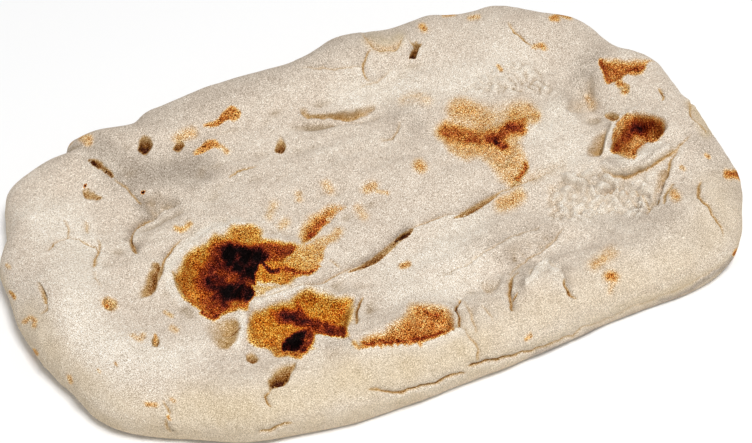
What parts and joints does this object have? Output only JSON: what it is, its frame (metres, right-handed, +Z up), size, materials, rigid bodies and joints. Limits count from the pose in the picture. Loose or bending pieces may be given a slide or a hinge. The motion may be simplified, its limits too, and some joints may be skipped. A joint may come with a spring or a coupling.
{
  "type": "pinsa base",
  "caption": "Long oval hand-stretched flatbread base with a puffed rim, burst browned blisters, finger dents and a flat underside.",
  "frame": {"origin": "middle of the bread's box, on the surface it lies on", "axes": "+X along the bread, +Y across it, +Z up out of the baked top"},
  "size_m": [0.3012, 0.1944, 0.0269],
  "materials": {
    "crust": "dry baked bread crust, floury and matt, browned and charred in its burst blisters"
  },
  "bodies": {
    "root": {"pinsa_base": "crust"}
  },
  "joints": []
}
